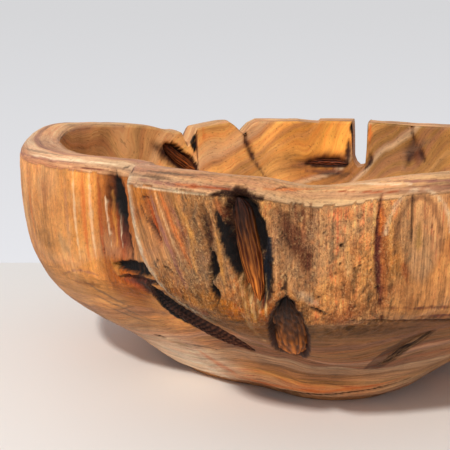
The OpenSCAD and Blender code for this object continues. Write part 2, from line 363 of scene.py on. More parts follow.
# Where the features stand round the bowl, as azimuths
LEFT_LOBE, VALLEY, FOLD, PIT_CHAIN, HOLLOW, KNOT, PATCH = -66, -45, -28, -20, -15, -10, -8
RIGHT_SEAM, ARCH, PANEL, SLOT, LEDGE, NOTCH, DIP = 2, 7, 147, 163, 172, -148, -165
# Heights of the streaks along the rim and of the top of the front's features
RIM_LINE, FACE_TOP = 130, 125

# How a mark's edge looks: (how ragged, soft share of its half width)
LOOKS = {"stain": (1.4, 0.95), "band": (0.9, 0.9), "streak": (0.5, 0.8), "crack": (0.3, 0.6),
         "char": (0.9, 0.5), "arch": (1.0, 0.9), "pocket": (0.7, 0.3), "painted_highlight": (1.0, 1.0), "pit": (0.2, 0.7)}
STREAK_STEPS, ARCH_STEPS = 7, 9


def bent(start, end, bend, steps):
    """Azimuths and heights on the way from start to end, bent at the middle."""
    t = np.linspace(0, 1, steps)
    hump = np.sin(np.pi * t)
    return [mix(start[i], end[i], t) + bend[i] * hump for i in (0, 1)]


def streak(side, at, look, dye, strength, depth, start, end, half_width, bend=(0, 0)):
    """Mark that tapers to both ends, given by two points: (azimuth from at, height)."""
    rag, soft = LOOKS[look]
    a, z = bent((at + start[0], start[1]), (at + end[0], end[1]), bend, STREAK_STEPS)
    widths = half_width * (0.4 + 0.6 * np.sin(np.pi * np.linspace(0, 1, STREAK_STEPS)))
    return side, dye, strength, depth, rag, soft, list(zip(a, z, widths))


def arch(dye, strength, half_span, foot, top, half_width):
    """Growth line that rises over the arch on the right of the front."""
    turn = np.linspace(0, np.pi, ARCH_STEPS)
    a = ARCH - half_span * np.cos(turn)
    path = [(x, mix(foot, top, y), half_width) for x, y in zip(a, np.sin(turn))]
    return OUTSIDE, dye, strength, 0.1, *LOOKS["arch"], path


# Pockets that hold bark or dead wood: (side, start, end, bend, widest half width, share of
# the way to its widest place, depth)
POCKETS = {
    "front_bark": (OUTSIDE, (HOLLOW - 1, 125), (HOLLOW + 2, 78), (0, 0), 9.5, 0.35, 7),
    "front_dead_knot": (OUTSIDE, (KNOT, 82), (KNOT, 40), (0, 0), 10, 0.6, 6.5),
    "seam_bark": (OUTSIDE, (-38, 70), (-20, 38), (-2, 1), 8.5, 0.38, 4.5),
    "side_bark": (OUTSIDE, (ARCH - 2, 31), (ARCH + 6, 58), (-1, 0), 7.5, 0.5, 0.8),
    "inner_dead_knot": (INSIDE, (NOTCH + 9, 123), (NOTCH - 1, 101), (0, 0), 7.5, 0.6, 5),
    "inner_bark": (INSIDE, (LEDGE + 6, 104), (LEDGE - 6, 104), (0, 1), 4.8, 0.6, 5),
}
BLUNTNESS = 2.8
# Pockets deeper than this get a darker painted shade, and marks deeper than this don't add up
DEEP = 2


def pocket_path(name, fill=1.0, shift=0.0, steps=9):
    """Points (azimuth, height, half width) down a pocket, narrowed to the share fill."""
    side, start, end, bend, widest, peak, depth = POCKETS[name]
    a, z = bent(start, end, bend, steps)
    t = np.clip(np.linspace(0, 1, steps), 0.02, 0.98) ** (math.log(0.5) / math.log(peak))
    blunt = np.sqrt(1 - np.abs(2 * t - 1) ** BLUNTNESS)
    return list(zip(a + shift, z, fill * widest * blunt))


def pocket(name):
    side, depth = POCKETS[name][0], POCKETS[name][-1]
    # the umber round a piece in its pocket is painted shade, darker in the deeper pockets
    return side, "umber", 0.97 if depth > DEEP else 0.5, depth, *LOOKS["pocket"], pocket_path(name)


# The marks, laid in this order, which runs from the left lobe round the front to the right,
# then to the lower wall and inside. A negative depth stands proud.
MARKS = []


def add_marks(side, at, *rows):
    """Adds marks to a side. A row is a pocket's name or what streak takes after its side and
    azimuth."""
    for row in rows:
        MARKS.append(pocket(row) if isinstance(row, str) else streak(side, at, *row))


for off, dye, strength, wide in (
        (-7, "orange", 0.5, 2.2), (6, "mauve", 0.4, 1.7), (8.5, "cream", 0.35, 1.5),
        (11, "orange", 0.65, 3.2), (13, "cream", 0.45, 2.2), (15.5, "rust", 0.75, 2.5)):
    add_marks(OUTSIDE, LEFT_LOBE, ("band", dye, strength, 0.1, (off, 128), (off, 78), wide))
add_marks(
    OUTSIDE, LEFT_LOBE,
    ("stain", "smoke", 0.35, 0, (2, 90), (6, 78), 5),
    ("stain", "brown", 0.45, 0.2, (4, 62), (12, 63), 2.8),
    ("band", "mauve", 0.5, 0.2, (1, 65), (14, 69), 1.1, (0, 3)),
)
# rim: streaks that run along it (dye, strength, from, to, above the rim line, half width)
for dye, strength, start, end, above, wide in (
        ("smoke", 0.8, -32, -22, 3, 1.4), ("mauve", 0.65, -34, -14, -1, 1.5),
        ("orange", 0.5, -26, -19, -1, 1.2), ("rust", 0.7, -23, -15, -1, 0.8),
        ("orange", 0.6, -13, -6, -1, 1.3), ("cream", 0.6, -33, -19, -4, 1),
        ("umber", 0.6, -32, -26, 1, 1.6), ("cream", 0.6, -9, 6, 1, 1.4),
        ("rust", 0.8, -5, 5, -2, 0.8), ("mauve", 0.7, 1, 17, 2, 1),
        ("maroon", 0.6, 5, 18, 0, 0.7), ("mauve", 0.7, -86, -54, 0, 1.1),
        ("smoke", 0.6, -80, -63, 3, 1), ("cream", 0.6, -76, -46, 1, 1),
        ("maroon", 0.8, -58, -48, -2, 0.8)):
    z = RIM_LINE + above
    add_marks(RIM, 0, ("streak", dye, strength, 0.2, (start, z), (end, z), wide))
add_marks(
    RIM, HOLLOW,
    ("char", "umber", 0.95, 1.5, (-5, FACE_TOP), (2, FACE_TOP), 2.2, (0, 2)),
    ("crack", "umber", 0.8, 0.4, (2, 126), (6, 129), 0.5, (0, 2)),
)
add_marks(
    RIM, VALLEY,
    ("crack", "black", 0.9, 0.8, (1, 130), (3, 131), 0.9),
    ("crack", "black", 0.9, 0.8, (9, 133), (10, 131), 0.8),
)
# valley between the left and the front lobe: its black and umber cleft is partly charred wood and partly
# painted shade
add_marks(
    OUTSIDE, VALLEY,
    ("stain", "rust", 0.6, 1, (-2, 129), (0, 78), 8),
    ("stain", "umber", 0.8, 0, (-2, 128), (-1, 104), 9),
    ("stain", "maroon", 0.7, 1, (-1, 104), (1, 85), 9),
    ("stain", "umber", 0.8, 1, (1, 102), (3, 83), 4.6),
)
for i, dye in enumerate(("cream", "gold", "cream")):
    start, end = (1.2 * i - 4, 118), (1.2 * i - 3, 88)
    add_marks(OUTSIDE, VALLEY, ("streak", dye, 0.6, -0.2, start, end, 0.9))
add_marks(
    OUTSIDE, VALLEY,
    ("stain", "umber", 0.95, 1, (-2, 124), (2, 88), 9),
    ("stain", "black", 1.0, 1, (-1, 128), (1, 98), 10),
    ("char", "black", 1.0, 2, (-1, 125), (1, 102), 6.5),
    ("char", "black", 0.98, 3, (-3, 78), (12, 81), 4.2),
    ("char", "umber", 0.9, 2, (-2, 72), (12, 75), 2.4),
    ("stain", "gold", 0.45, -0.3, (-4, 82), (-1, 70), 3),
    ("stain", "rust", 0.85, 0.5, (-2, 71), (7, 66), 5),
    ("stain", "maroon", 0.85, 0.4, (-1, 71), (11, 70), 5.5),
)
# crevice under the front lobe
add_marks(
    OUTSIDE, VALLEY,
    ("stain", "umber", 0.95, 0.5, (1, 73), (10, 63), 6.5),
    "seam_bark",
    ("char", "black", 1.0, 0, (7, 69), (13, 50), 7.5),
)
# front lobe: a pale, slightly proud strip follows the seam as a painted highlight on the lit ridge of its
# edge, then folds on its left and a chain of pits
HIGHLIGHT_BESIDE_SEAM, HIGHLIGHT_HALF_WIDTH = 3.3, 2.8
MARKS.append((OUTSIDE, "grey", 0.75, -0.6, *LOOKS["painted_highlight"],
              [(seam_azimuth(z) + HIGHLIGHT_BESIDE_SEAM, z, HIGHLIGHT_HALF_WIDTH) for z in range(128, 60, -8)]))
for off, (dye, strength, depth, wide) in enumerate((
        ("mauve", 0.85, -0.9, 1.6), ("tan", 0.6, -0.5, 0.9), ("orange", 0.65, 0, 1.8),
        ("mauve", 0.6, 0.2, 0.8), ("gold", 0.45, 0, 2.2))):
    start, end = (off - 2, FACE_TOP), (4 + 0.6 * off, 82 + 5 * off)
    add_marks(OUTSIDE, FOLD, ("streak", dye, strength, depth, start, end, wide))
add_marks(
    OUTSIDE, FOLD,
    ("crack", "umber", 0.95, 1.8, (-4, 121), (-2, 122), 1),
    ("band", "rust", 0.8, 2.2, (-3, 122), (0, 100), 3.2),
    ("crack", "umber", 0.8, 0.8, (-4, 118), (0, 100), 0.9),
    ("crack", "umber", 0.85, 1.2, (-1, 94), (-1, 91), 1),
    ("crack", "umber", 0.85, 1.2, (0, 90), (2, 87), 1, (0, 1)),
)
add_marks(
    OUTSIDE, PIT_CHAIN,
    ("stain", "umber", 0.9, 2, (-1, 120), (0, 97), 3.4),
    ("char", "black", 1.0, 3.4, (0, 102), (0, 87), 2.5, (0.5, 0)),
    ("char", "black", 1.0, 3, (0, 87), (1, 77), 1.9),
    ("band", "gold", 0.6, -0.6, (1, 110), (2, 86), 1.7),
    ("band", "gold", 0.5, -0.5, (-3, 110), (-2, 88), 1.9),
)
# front hollow: dark pocket with black sides and a painted sheen, dark blue-grey, down its right side, and
# fibres run out below it
add_marks(
    OUTSIDE, HOLLOW,
    "front_bark",
    ("char", "black", 1.0, 1, (-1, 126), (2, 102), 4.4, (0.8, 0)),
    ("stain", "rust", 0.55, 0, (-4, 125), (-3, 112), 4),
    ("char", "painted_sheen", 1.0, 0, (3, 108), (2, 78), 2.9),
    ("char", "black", 1.0, 1, (-4, 119), (-1, 90), 3.4, (0.2, 0)),
    ("band", "gold", 0.55, -0.3, (-1, 90), (1, 64), 5),
    ("stain", "flake", 0.4, 0, (2, 82), (1, 54), 2, (-2, 0)),
)
for i in range(10):
    dye, depth = ("flake", -0.3) if i % 2 else ("rust", 0.3)
    start, end = (0.5 * i - 2.5, 91), (0.4 * i - 1, 66)
    add_marks(OUTSIDE, HOLLOW, ("streak", dye, 0.75, depth, start, end, 0.55))
add_marks(OUTSIDE, KNOT, "front_dead_knot")
# right of the hollow: brown patch with streaks over it, then a worn spot and small cracks
add_marks(
    OUTSIDE, PATCH,
    ("stain", "maroon", 0.5, 0.6, (-2, 118), (1, 95), 5.4),
    ("band", "brown", 0.95, 1.6, (-3, 121), (1, 93), 5.2),
    ("crack", "umber", 0.85, 0.7, (-4, 117), (-1, 101), 0.7, (0.4, 0)),
    ("crack", "umber", 0.85, 0.6, (-3, 111), (-2, 106), 0.6),
    ("band", "maroon", 0.7, 0.6, (1, 106), (1, 94), 1.8),
)
for i in range(3):
    start, end = (i - 1, 126), (0.8 * i - 0.5, 111)
    add_marks(OUTSIDE, PATCH, ("streak", "brown", 0.85, 0.8, start, end, 1.1))
add_marks(
    OUTSIDE, PATCH,
    ("stain", "grey", 0.35, -0.3, (-1, 86), (2, 79), 3.4),
    ("crack", "umber", 0.85, 1, (-2, 93), (-2, 82), 1.2),
    ("crack", "umber", 0.95, 1.4, (1, 78), (4, 73), 1),
    ("stain", "orange", 0.45, 0, (4, 122), (7, 116), 3.6),
    ("stain", "flake", 0.3, 0, (5, 106), (6, 90), 4),
)
# seam of the right lobe and the arches right of it
add_marks(
    OUTSIDE, RIGHT_SEAM,
    ("band", "rust", 0.6, 0.6, (0, 129), (1, 76), 3.4),
    ("streak", "maroon", 0.95, 1.5, (0, 130), (1, 70), 2.4, (-0.8, 0)),
    ("streak", "orange", 0.85, -0.5, (0, 121), (0, 109), 1),
)
MARKS += [arch("cream", 0.35, 4.4, 110, 129, 1.1), arch("brown", 0.6, 3.3, 102, 126, 1.9)]
add_marks(
    OUTSIDE, ARCH,
    ("crack", "umber", 1.0, 1.2, (-1, 129), (-1, 105), 0.8),
    ("band", "olive", 0.65, 0.2, (0, 115), (0, 101), 2.6),
    ("band", "rust", 0.5, 0.2, (-2, 98), (-1, 87), 2.4),
)
add_marks(
    OUTSIDE, RIGHT_SEAM,
    ("band", "maroon", 0.65, 0.4, (1, 76), (18, 73), 1.4),
    ("band", "maroon", 0.7, 0.3, (6, 70), (18, 68), 2.2),
    ("streak", "umber", 0.75, 0.8, (-4, 71), (20, 63), 1.2),
)
# lower wall: growth stripes, knot, pale and orange bands, the crack by the foot
for i in range(3):
    start, end = (i - 58, 63 - 6 * i), (i - 47, 52 - 5 * i)
    add_marks(OUTSIDE, 0, ("streak", "smoke", 0.65, 0.3, start, end, 1.2))
add_marks(
    OUTSIDE, 0,
    ("crack", "umber", 0.9, 1.6, (-50, 33), (-47, 32), 1.8),
    ("stain", "olive", 0.45, 0.3, (-48, 30), (-39, 29), 2.8, (0, -1)),
    ("crack", "umber", 0.75, 0.8, (-42, 30), (-29, 31), 0.9, (0, 1)),
    ("stain", "pale", 0.5, 0, (-56, 22), (-36, 7), 5.5),
    ("stain", "orange", 0.5, 0, (-39, 28), (-30, 10), 5.5, (-1, 0)),
    ("streak", "orange", 0.7, 0, (-32, 9), (18, 19), 2.4, (0, -4)),
    ("crack", "black", 1.0, 1.6, (-33, 6), (20, 16), 1.4, (0, -4)),
    "side_bark",
)
# inside: the gaps' dark sides, knots and creases, with painted shade down the notch's side and painted shadow
# under the ledge
add_marks(
    INSIDE, NOTCH,
    ("stain", "brown", 0.9, 0.4, (13, 123), (0, 101), 10),
    ("stain", "umber", 0.95, 0.4, (12, 124), (0, 100), 10),
    "inner_dead_knot",
    ("char", "black", 0.95, 2, (6, 123), (0, 106), 3),
    # the black strip down the notch's side is painted shade
    ("crack", "black", 0.95, 0, (-1, 131), (-1, 116), 3.8),
)
# the same painted shade of the notch's side, over the rim
add_marks(RIM, NOTCH, ("crack", "black", 0.9, 0, (-1, 132), (-1, 124), 4.5))
add_marks(
    INSIDE, NOTCH,
    ("streak", "brown", 0.75, 0.8, (-2, 134), (-2, 103), 1.2),
    ("stain", "orange", 0.5, 0, (-4, 135), (-4, 124), 2.2),
)
add_marks(
    INSIDE, DIP,
    ("stain", "brown", 0.75, 0.6, (1, 132), (-2, 103), 4.6),
    ("band", "umber", 0.85, 1.5, (1, 133), (-5, 94), 2.5, (1, 0)),
)
add_marks(RIM, LEDGE, ("crack", "umber", 0.9, 0, (7, 138), (3, 138), 2))
# below the ledge: the brown and umber stains are painted shadow of its overhang
add_marks(
    INSIDE, LEDGE,
    ("stain", "brown", 0.9, 0.4, (10, 102), (-7, 110), 9),
    ("stain", "umber", 0.8, 0.4, (8, 106), (-7, 107), 5),
    ("stain", "umber", 0.75, 0.3, (4, 97), (-8, 96), 4.2),
    "inner_bark",
    ("streak", "brown", 0.75, 0.8, (6, 98), (-5, 98), 1.2),
)
add_marks(
    INSIDE, SLOT,
    ("crack", "black", 1.0, 0.5, (2, 138), (2, 128), 2.6),
    ("band", "umber", 0.9, 1, (3, 124), (3, 104), 3.4),
    ("streak", "orange", 0.7, 0, (-3, 137), (-3, 121), 2),
    ("streak", "umber", 0.9, 1.5, (-3, 114), (-2, 100), 2.6, (-1, 0)),
)
add_marks(
    INSIDE, PANEL,
    ("stain", "brown", 0.85, 0.3, (0, 128), (-2, 104), 8.5),
    ("stain", "umber", 0.85, 0.8, (1, 136), (0, 122), 2.4),
    ("stain", "umber", 0.85, 1, (0, 127), (2, 104), 6.5),
    ("stain", "umber", 0.85, 0.8, (-1, 120), (-4, 107), 3.8),
    ("stain", "smoke", 0.5, 0, (-6, 128), (4, 112), 5),
)
# How charred the darker dyes look: charred wood has no light flecks
CHARRED = {"black": 1.0, "painted_sheen": 1.0, "umber": 0.6, "maroon": 0.5, "brown": 0.5, "rust": 0.3}
# Small dark pits, scattered over the front face and the left of the valley: how many, and
# between what azimuths, heights and radii; then their dye, strength, depth and edge
PIT_FIELDS = [(22, (-12, 2), (77, 112), (0.5, 1.1)), (3, (-53, -46), (83, 93), (0.6, 1.0))]
PIT_LOOK = ("umber", 0.9, 1.2, *LOOKS["pit"])
pit_draws = np.random.RandomState(5)
PITS = [tuple(pit_draws.uniform(*spread) for spread in spreads)
        for count, *spreads in PIT_FIELDS for _ in range(count)]
FAR_OUTSIDE = -99.0


def depth_inside(points, centres, widths, rag):
    """How far each point lies inside the edge of a path, whose edge is shifted by rag."""
    if len(centres) == 1:
        return widths[0] - np.linalg.norm(points - centres[0], axis=1) - rag
    inside = np.full(len(points), FAR_OUTSIDE)
    for c0, c1, w0, w1 in zip(centres, centres[1:], widths, widths[1:]):
        side = c1 - c0
        t = np.clip((points - c0) @ side / (side @ side), 0, 1)
        away = np.linalg.norm(points - c0 - t[:, None] * side, axis=1) + rag
        inside = np.maximum(inside, mix(w0, w1, t) - away)
    return inside


def lay_marks(p, kind, c, streaks, rag_noise):
    """Colours with every mark laid on them, the depth pressed in, and how charred it is."""
    press = np.zeros(len(p))
    char = np.zeros(len(p))
    marks = MARKS + [(OUTSIDE, *PIT_LOOK, [pit]) for pit in PITS]
    sides = {OUTSIDE: kind != INSIDE, RIM: kind == RIM, INSIDE: (kind == INSIDE) | (kind == RIM)}
    surfaces = {OUTSIDE: wall_r, RIM: shoulder_r, INSIDE: hollow_r}
    for side, dye, strength, depth, rag, soft, path in marks:
        azimuths, heights, widths = np.array(path, float).T
        centres = np.array([place(a, surfaces[side](a, z), z) for a, z in zip(azimuths, heights)])
        wide = max(widths)
        reach = wide + 2 * rag
        box = ((p > centres.min(0) - reach) & (p < centres.max(0) + reach)).all(1) & sides[side]
        if not box.any():
            continue
        inside = depth_inside(p[box], centres, widths, rag * rag_noise[box])
        edge = ease(inside, -0.1, max(0.6, wide * soft**2))
        amount = strength * edge * np.clip(1.1 + 0.6 * streaks[box] * (strength < 0.99), 0, 1.25)
        c[box] = mix(c[box], DYES[dye], np.clip(amount, 0, 1)[:, None])
        pressed = depth * ease(inside, 0, max(1.2, 0.4 * wide))
        press[box] = np.where(depth > DEEP, np.maximum(press[box], pressed), press[box] + pressed)
        dark = ease(inside, -0.3, 1.5) * CHARRED.get(dye, 0)
        char[box] = np.maximum(char[box], dark)
    return c, press, char


# Swirls of the growth layers by side: (azimuth, height, half width, half height, lift)
SWIRLS = {
    OUTSIDE: [
        (8.0, 100, 13, 30, 9), (-66, 108, 20, 44, 9), (-62, 30, 30, 14, 8), (60, 90, 30, 40, 12),
        (110, 80, 24, 36, 10), (160, 92, 34, 40, 12), (-140, 84, 30, 44, 12)],
    INSIDE: [
        (-128, 110, 26, 22, 20), (172, 108, 26, 18, 10), (146, 108, 14, 18, 8)],
}
# Radius at which the layers and fibres are measured, and how far the rim's lines swing
MEAN_RADIUS, RIM_SWING = 188, 9.4


def by_side(table):
    """Pairs of a side and one of its rows."""
    return [(side, row) for side, rows in table.items() for row in rows]


def growth_layers(p, a, kind, rim_way):
    """Distance through the growth layers, warped: rings round the block on the outside,
    slanting layers inside, and lines that follow the rim along its top."""
    r = np.hypot(p[:, 0], p[:, 1])
    warp = 6 * clouds(p, (60, 60, 110), 3, 2) + 2.0 * clouds(p, (17, 17, 60), 5, 2)
    outer = MEAN_RADIUS * r / rim_r(a) + 0.2 * (p[:, 2] - 70)
    inner = 0.62 * (p[:, 2] - 0.75 * p[:, 0]) + 0.16 * (p[:, 1] - 160)
    rim = rim_way * 0.9 + RIM_SWING * np.sin(np.radians(a))
    g = np.where(kind == INSIDE, inner, outer) + warp
    g = np.where(kind == RIM, rim + 0.35 * warp, g)
    for where, (at, high, half_wide, half_high, lift) in by_side(SWIRLS):
        sideways = np.radians((a - at + 180) % 360 - 180) * r
        far = (sideways / half_wide) ** 2 + ((p[:, 2] - high) / half_high) ** 2
        g = g + np.where(kind == where, lift * np.exp(-far), 0)
    return g


def zone_colours(a, z, kind):
    """Soft base colour of the wood at each point."""
    c = np.zeros((len(a), 3))
    total = np.full(len(a), BASE_WEIGHT)
    for side, rgb in BASE_COLOURS.items():
        c[kind == side] = colour(*rgb) * BASE_WEIGHT
    for where, (at, high, wide, tall, rgb) in by_side(ZONES):
        far = (((a - at + 180) % 360 - 180) / wide) ** 2 + ((z - high) / tall) ** 2
        weight = np.where(kind == where, np.exp(-far**1.5), 0)
        c += weight[:, None] * colour(*rgb)
        total += weight
    c = c / total[:, None]
    grey = c.mean(1, keepdims=True)
    front = (kind == OUTSIDE) * ease(a, -40, -30) * (1 - ease(a, 0, 20)) * ease(z, 56, 66)
    return np.maximum(grey + (c - grey) * (SATURATION + 0.04 * front[:, None]), 0) * DEEPEN


# Lines along the growth layers: (seed, step, dye, strength)
LAYER_LINES = ((5, 4.7, "mauve", 0.35), (7, 6.1, "cream", 0.4), (9, 2.3, "mauve", 0.3),
               (13, 3.7, "orange", 0.25))
# Heights between which the fibres of the outside turn upright, and middle of the worn rim
UPRIGHT, WORN_RIM = (54, 68), -18


def wood_colours(p, a, kind, rim_way):
    """Colour of each point of the carved wood before its marks, the coordinates of its
    fibres, its streaks and how speckled it is."""
    chipped = rim_way + 1.3 * clouds(p, (9, 9, 5), 45, 3, 0.6)
    kind = np.where((kind == RIM) & (chipped < 1.5) & (np.abs(a) < 100), OUTSIDE, kind)
    g = growth_layers(p, a, kind, rim_way)
    beside = np.radians(a) * MEAN_RADIUS
    z = p[:, 2]
    upright = ease(z, *UPRIGHT)
    lean = 0.36 * ease(a, -40, -32) * (1 - ease(a, -20, -12))
    across = mix(g * 1.6, beside + lean * (z - 130), upright)
    length = mix(beside, z, upright)
    across = np.where(kind == INSIDE, g, np.where(kind == RIM, g * 1.3, across))
    length = np.where(kind == INSIDE, 0.8 * p[:, 0] + 0.6 * z, np.where(kind == RIM, beside, length))
    fibre = np.stack([across, length, g], -1)
    streaks = clouds(fibre, (2.6, 46, 30), 41, 3, 0.6)
    wide_streaks = clouds(fibre, (9, 90, 40), 43, 2)
    plain = kind == OUTSIDE
    ring_share = np.where(plain, mix(0.9, 0.4, upright), 1.0)
    bolder = (kind == INSIDE) * 0.5
    rings = (0.55 * bands(g / 1.3, 1) + (0.7 + bolder) * bands(g / 3.1, 2)
             + (0.6 + bolder) * bands(g / 8, 3))
    blotches = clouds(p, (26, 26, 34), 51, 3)
    left_end = mix(-32, -24.5, ease(z, 84, 100))
    front_face = ease(a, left_end - 3, left_end + 3) * (1 - ease(a, 0, 8)) * upright * plain
    front_rim = 0.5 * (kind == RIM) * np.exp(-((a - WORN_RIM) / 17) ** 4) * (1 - ease(rim_way, 10, 20))
    speckle = np.clip(front_face + 0.25 * (plain & (z > 62)) * (np.abs(a) < 90) + front_rim, 0, 1)
    mottles = clouds(p, (2.6, 2.6, 4.0), 61, 3, 0.75)
    smooth = np.where(plain, 1 - 0.55 * (1 - upright), 1.0)
    lively = ease(a, -54, -44)
    grainy = np.where(kind == INSIDE, 0.25, 0.45 + 0.55 * speckle) * smooth * mix(0.45, 1, lively)
    tone = (1 + 0.16 * rings * ring_share + 0.34 * streaks * grainy
            + 0.22 * wide_streaks + 0.30 * blotches + mottles * (0.10 + 0.66 * speckle))
    tone = np.where(plain, 1 + 1.3 * (tone - 1), tone)
    c = zone_colours(a, z, kind) * np.clip(tone, 0.3, 1.7)[:, None] ** 1.15
    rim_lines = np.where(kind == RIM, mix(1.5, 0.9, np.exp(-((a - WORN_RIM) / 20) ** 4)), 1.0)
    for seed, step, dye, strength in LAYER_LINES:
        amount = ease(bands(g / step, seed), 0.25, 0.9) * strength * ring_share * rim_lines
        c = mix(c, DYES[dye], np.clip(amount, 0, 0.8)[:, None])
    shoulder = (kind == RIM) * (1 - ease(rim_way, 4, 12))
    c = c * (1 - 0.22 * shoulder[:, None])
    shade = plain * ease(clouds(p, (15, 15, 26), 57, 3, 0.6), 0.05, 0.6) * (0.25 + 0.35 * speckle)
    c = mix(c, DYES["rust"] * 0.8, (shade * upright)[:, None])
    pearl = plain * ease(clouds(p, (19, 19, 34), 59, 3, 0.6), 0.1, 0.7) * mix(0.4, 0.1, lively)
    c = mix(c, DYES["flake"] * 0.9, (pearl * upright)[:, None])
    gilt = speckle * ease(mottles, 0.15, 0.7) * 0.18
    c = mix(c, DYES["gold"] * 1.15, gilt[:, None])
    return c, fibre, streaks, speckle


# ---- meshes
def at_points(values):
    """Values of a grid's points, then the first and last again for the fans' middles."""
    values = values.reshape(-1, 3)
    return np.concatenate([values, values[:1], values[-1:]])


def grid_mesh(name, p, tint, fibre, masks):
    """Mesh of a grid of rows whose columns close into a loop, with a fan at each end."""
    n_rows, n_cols = p.shape[:2]
    here = np.arange(n_rows * n_cols).reshape(n_rows, n_cols)
    side = np.roll(here, -1, 1)
    quads = np.stack([here[:-1], side[:-1], side[1:], here[1:]], -1).reshape(-1, 4)
    vertices = np.concatenate([p.reshape(-1, 3), [p[0].mean(0), p[-1].mean(0)]]) / METRE
    start, end = np.full(n_cols, here.size), np.full(n_cols, here.size + 1)
    fans = np.stack([side[0], here[0], start], -1).tolist() + np.stack([here[-1], side[-1], end], -1).tolist()
    mesh = bpy.data.meshes.new(name)
    mesh.from_pydata(vertices.tolist(), [], quads.tolist() + fans)
    mesh.polygons.foreach_set("use_smooth", np.ones(len(mesh.polygons), bool))
    tint = np.concatenate([at_points(tint), np.ones((len(vertices), 1))], 1)
    mesh.attributes.new("tint", "FLOAT_COLOR", "POINT").data.foreach_set("color", tint.ravel())
    for key, values in (("fibre", fibre / METRE), ("masks", masks)):
        data = mesh.attributes.new(key, "FLOAT_VECTOR", "POINT").data
        data.foreach_set("vector", at_points(values).ravel())
    mesh.validate()
    piece = bpy.data.objects.new(name, mesh)
    bpy.context.scene.collection.objects.link(piece)
    return piece


# Heights of the block's relief: slow waves, fine fibres, chips of the speckled face, char
WAVES, FIBRES, CHIPS, CHAR = 0.9, 0.30, 1.0, 0.6


def carved_block():
    p, kinds, a, rim_way = bowl_grid()
    shape = p.shape[:2]
    normal = grid_normals(p).reshape(-1, 3)
    p = p.reshape(-1, 3)
    azimuth = np.broadcast_to(a, shape).ravel()
    kind = np.broadcast_to(kinds[:, None], shape).ravel()
    c, fibre, streaks, speckle = wood_colours(p, azimuth, kind, rim_way.ravel())
    rag_noise = clouds(p, 3.8, 71, 2, 0.5)
    c, press, char = lay_marks(p, kind, c, streaks, rag_noise)
    waves = WAVES * clouds(p, (46, 46, 60), 81, 2) * (kind != UNDER)
    tooth = FIBRES * clouds(fibre, (2.2, 22, 30), 83, 3, 0.6)
    chips = CHIPS * speckle * clouds(p, (3.4, 3.4, 5), 85, 3, 0.7)
    tooth = tooth * np.where(kind == INSIDE, 0.5, 1) + chips
    rough = CHAR * char * clouds(fibre, (3.2, 18, 9), 87, 2, 0.6)
    flat = (kind == UNDER) & (p[:, 2] < LIP_ROUND / 2)
    p = p + normal * np.where(flat, 0, waves + tooth + rough - press)[:, None]
    p[:, 2] = np.maximum(p[:, 2], 0)
    lively = ease(azimuth, -52, -40) * (1 - ease(azimuth, 24, 40))
    calm = np.where(kind == OUTSIDE, 0.5 - 0.5 * lively, np.where(kind == INSIDE, 0.55, 0.3))
    masks = np.stack([char, speckle, calm], -1)
    return grid_mesh("carved_block", p.reshape(*shape, 3), c, fibre, masks)


# Pieces of bark and dead wood in the pockets: thickness, number of ribs (negative across
# the path instead of along it), share of the pocket that they fill, shift in azimuth, how
# far their face lies under the wall at the start, middle and end, and the colours of the
# ribs' foot and crest, first at the start and then at the end
INCLUSIONS = {
    "front_bark": (7, 7, 0.56, -0.5, (5, 3.2, 2.4),
                   ((4, 2, 1), (46, 13, 3)), ((112, 42, 12), (236, 138, 54))),
    "front_dead_knot": (7, 11, 1.02, 0, (2, 4.2, 1.2),
                        ((4, 2, 1), (26, 8, 3)), ((112, 60, 22), (236, 134, 44))),
    "seam_bark": (2.5, -26, 0.78, 0, (4.5, 3.4, 1.4),
                  ((8, 3, 2), (34, 14, 8)), ((56, 24, 14), (146, 84, 54))),
    "side_bark": (5, 8, 0.62, 0, (1.2, 0.8, 1.2),
                  ((48, 28, 18), (134, 94, 60)), ((48, 28, 18), (146, 104, 68))),
    "inner_dead_knot": (5, 6, 0.64, 0, (2, 2.5, 2),
                        ((28, 10, 6), (96, 44, 18)), ((44, 18, 8), (190, 104, 44))),
    "inner_bark": (5, 4, 0.66, 0, (3, 3, 3),
                   ((36, 14, 6), (140, 66, 26)), ((24, 10, 6), (110, 52, 22))),
}
SWEEP_STEPS, SWEEP_SIDES, SWEEP_LENGTH = 70, 72, 6
# Width of a piece's back against its face, and heights of its ribs and fine roughness
BACK_SHARE, RIB, FINE = 0.6, 1.1, 0.7


